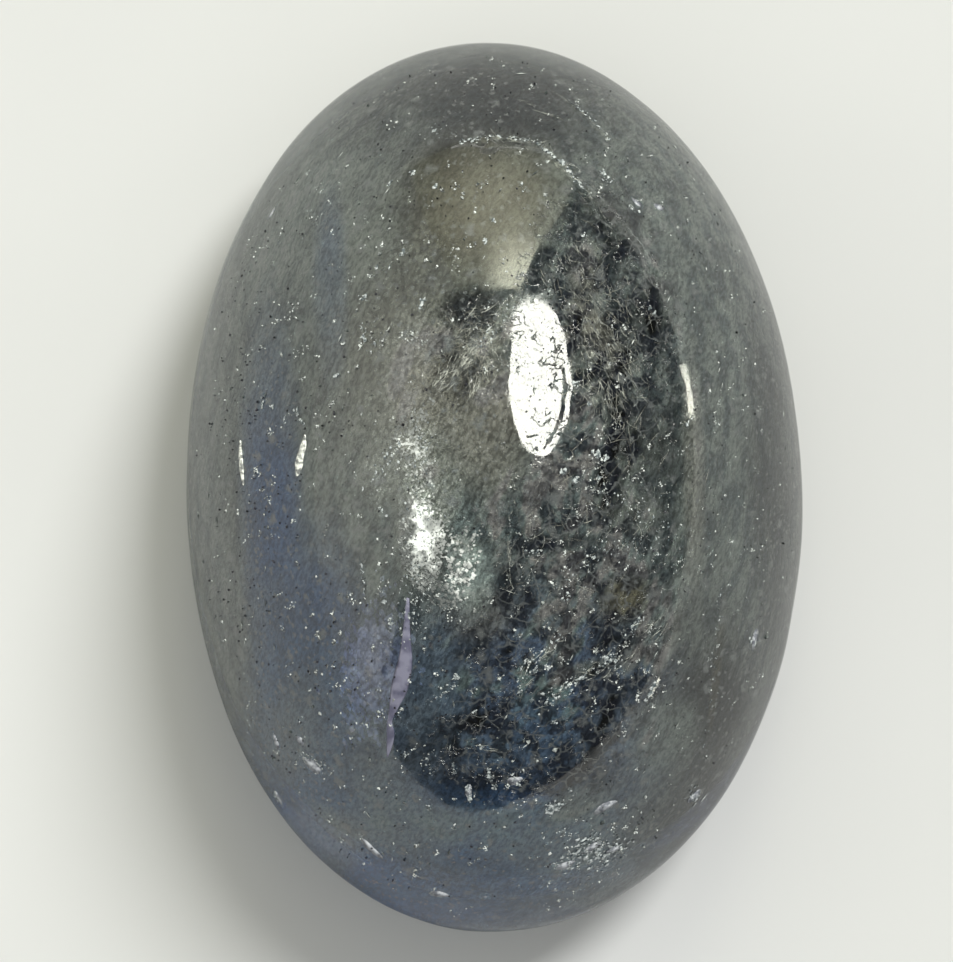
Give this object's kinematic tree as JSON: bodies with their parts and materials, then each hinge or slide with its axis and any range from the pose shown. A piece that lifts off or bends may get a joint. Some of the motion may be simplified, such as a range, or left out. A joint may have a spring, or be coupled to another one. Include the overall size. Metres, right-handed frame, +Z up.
{
  "type": "star sapphire cabochon",
  "caption": "Oval star sapphire cabochon with a high polished dome, a rounded back and a flat to rest on; grey-blue, cloudy with fine needles.",
  "frame": {"origin": "middle of the flat back, on the surface that the stone rests on", "axes": "+Z up through the dome, +Y along the length, +X across the width"},
  "size_m": [0.007, 0.01, 0.005],
  "materials": {
    "sapphire": "polished"
  },
  "bodies": {
    "root": {"star_sapphire_cabochon": "sapphire"}
  },
  "joints": []
}
